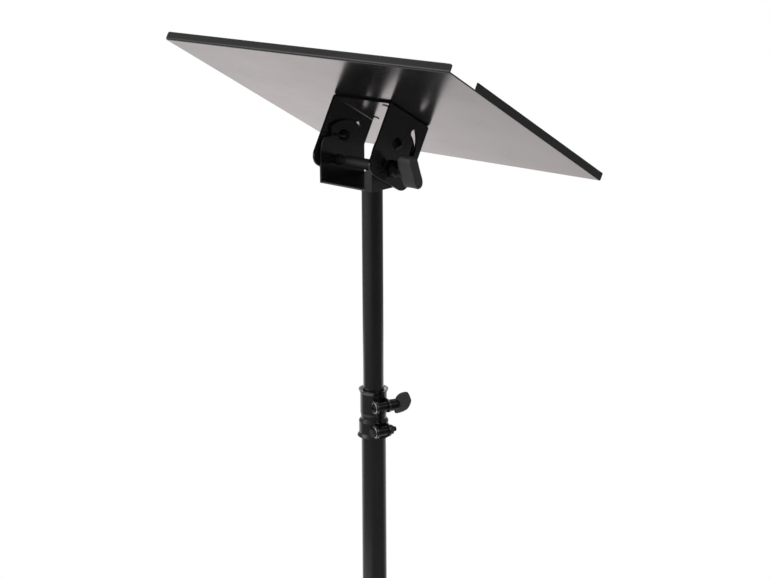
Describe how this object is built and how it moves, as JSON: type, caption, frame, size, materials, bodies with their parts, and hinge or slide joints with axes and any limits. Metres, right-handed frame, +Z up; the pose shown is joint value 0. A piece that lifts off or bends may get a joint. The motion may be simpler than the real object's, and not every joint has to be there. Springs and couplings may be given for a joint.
{
  "type": "projector stand",
  "caption": "Projector stand: lipped sheet-metal tray on a tilting yoke with an oval knob, telescopic mast with a split clamp sleeve, and a folding braced tripod with rubber feet.",
  "frame": {"origin": "on the mast axis at floor level", "axes": "+Z up along the mast, +X along the tilt axis towards the oval knob, -Y towards the raised front edge of the tray"},
  "size_m": [0.71, 0.6168, 1.1181],
  "materials": {
    "powder_coat": "semi-gloss black powder coat",
    "moulded_black": "satin moulded",
    "black_steel": "blackened steel",
    "nylon": "matte",
    "rubber": "matte"
  },
  "bodies": {
    "base": {"lower_tube": "powder_coat", "tube_cap": "moulded_black", "clamp_sleeve": "powder_coat", "sleeve_bush": "nylon", "thumb_bolt": "black_steel", "thumb_spacer": "black_steel", "hex_bolt": "black_steel", "hex_spacer": "black_steel", "hex_nut": "black_steel", "stop_ring": "powder_coat", "hub": "moulded_black", "hub_pins": "black_steel"},
    "crown": {"crown": "moulded_black", "crown_pins": "black_steel"},
    "crown_knob": {"crown_knob": "moulded_black"},
    "height_knob": {"height_knob": "moulded_black"},
    "glide": {"tube_glide": "nylon"},
    "upper_mast": {"upper_tube": "powder_coat", "cradle_ears": "powder_coat", "cradle_plate": "powder_coat", "pivot_bolts": "black_steel", "pivot_nuts": "black_steel", "friction_discs": "nylon", "lock_bolt": "black_steel", "lock_spacer": "black_steel", "guide_discs": "nylon", "lock_washers": "black_steel"},
    "tray_head": {"tray": "powder_coat", "yoke": "powder_coat", "tray_rivets": "black_steel"},
    "tilt_knob": {"tilt_knob": "moulded_black"},
    "leg_1": {"leg_tube_1": "powder_coat", "leg_hinge_1": "moulded_black", "foot_1": "rubber"},
    "brace_1": {"brace_1": "powder_coat", "brace_rivets_1": "black_steel"},
    "leg_2": {"leg_tube_2": "powder_coat", "leg_hinge_2": "moulded_black", "foot_2": "rubber"},
    "brace_2": {"brace_2": "powder_coat", "brace_rivets_2": "black_steel"},
    "leg_3": {"leg_tube_3": "powder_coat", "leg_hinge_3": "moulded_black", "foot_3": "rubber"},
    "brace_3": {"brace_3": "powder_coat", "brace_rivets_3": "black_steel"}
  },
  "joints": [
    {"name": "mast_height", "type": "slide", "parent": "base", "child": "glide", "axis": [0, 0, 1], "range_m": [-0.23, 0.2]},
    {"name": "mast_swivel", "type": "hinge", "parent": "glide", "child": "upper_mast", "pos_m": [0, 0, 0.38], "axis": [0, 0, 1], "continuous": true},
    {"name": "tray_tilt", "type": "hinge", "parent": "upper_mast", "child": "tray_head", "pos_m": [0, -0.0059, 1.0009], "axis": [-1, 0, 0], "range_deg": [-29.5, 45.5]},
    {"name": "tilt_knob_turn", "type": "hinge", "parent": "upper_mast", "child": "tilt_knob", "pos_m": [0, -0.01462, 0.97324], "axis": [1, 0, 0], "continuous": true},
    {"name": "height_knob_turn", "type": "hinge", "parent": "base", "child": "height_knob", "pos_m": [0.0202, -0.00735, 0.678], "axis": [0.342, 0.9397, 0], "continuous": true},
    {"name": "tripod_fold", "type": "slide", "parent": "base", "child": "crown", "axis": [0, 0, 1], "range_m": [0, 0.1696]},
    {"name": "crown_knob_turn", "type": "hinge", "parent": "crown", "child": "crown_knob", "pos_m": [0, 0, 0.24643], "axis": [0.866, 0.5, 0], "continuous": true},
    {"name": "leg_1_swing", "type": "hinge", "parent": "crown", "child": "leg_1", "pos_m": [0, 0.036, 0.24643], "axis": [-1, 0, 0], "range_deg": [0, 51.01]},
    {"name": "brace_1_swing", "type": "hinge", "parent": "base", "child": "brace_1", "pos_m": [0, 0.036, 0.017], "axis": [1, 0, 0], "range_deg": [0, 51.01]},
    {"name": "leg_2_swing", "type": "hinge", "parent": "crown", "child": "leg_2", "pos_m": [-0.03118, -0.018, 0.24643], "axis": [0.5, -0.866, 0], "range_deg": [0, 51.01]},
    {"name": "brace_2_swing", "type": "hinge", "parent": "base", "child": "brace_2", "pos_m": [-0.03118, -0.018, 0.017], "axis": [-0.5, 0.866, 0], "range_deg": [0, 51.01]},
    {"name": "leg_3_swing", "type": "hinge", "parent": "crown", "child": "leg_3", "pos_m": [0.03118, -0.018, 0.24643], "axis": [0.5, 0.866, 0], "range_deg": [0, 51.01]},
    {"name": "brace_3_swing", "type": "hinge", "parent": "base", "child": "brace_3", "pos_m": [0.03118, -0.018, 0.017], "axis": [-0.5, -0.866, 0], "range_deg": [0, 51.01]}
  ],
  "couplings": [
    {"joint": "leg_1_swing", "follows": "tripod_fold", "rad_per_m": 5.2485},
    {"joint": "brace_1_swing", "follows": "tripod_fold", "rad_per_m": 5.2485},
    {"joint": "leg_2_swing", "follows": "tripod_fold", "rad_per_m": 5.2485},
    {"joint": "brace_2_swing", "follows": "tripod_fold", "rad_per_m": 5.2485},
    {"joint": "leg_3_swing", "follows": "tripod_fold", "rad_per_m": 5.2485},
    {"joint": "brace_3_swing", "follows": "tripod_fold", "rad_per_m": 5.2485}
  ]
}
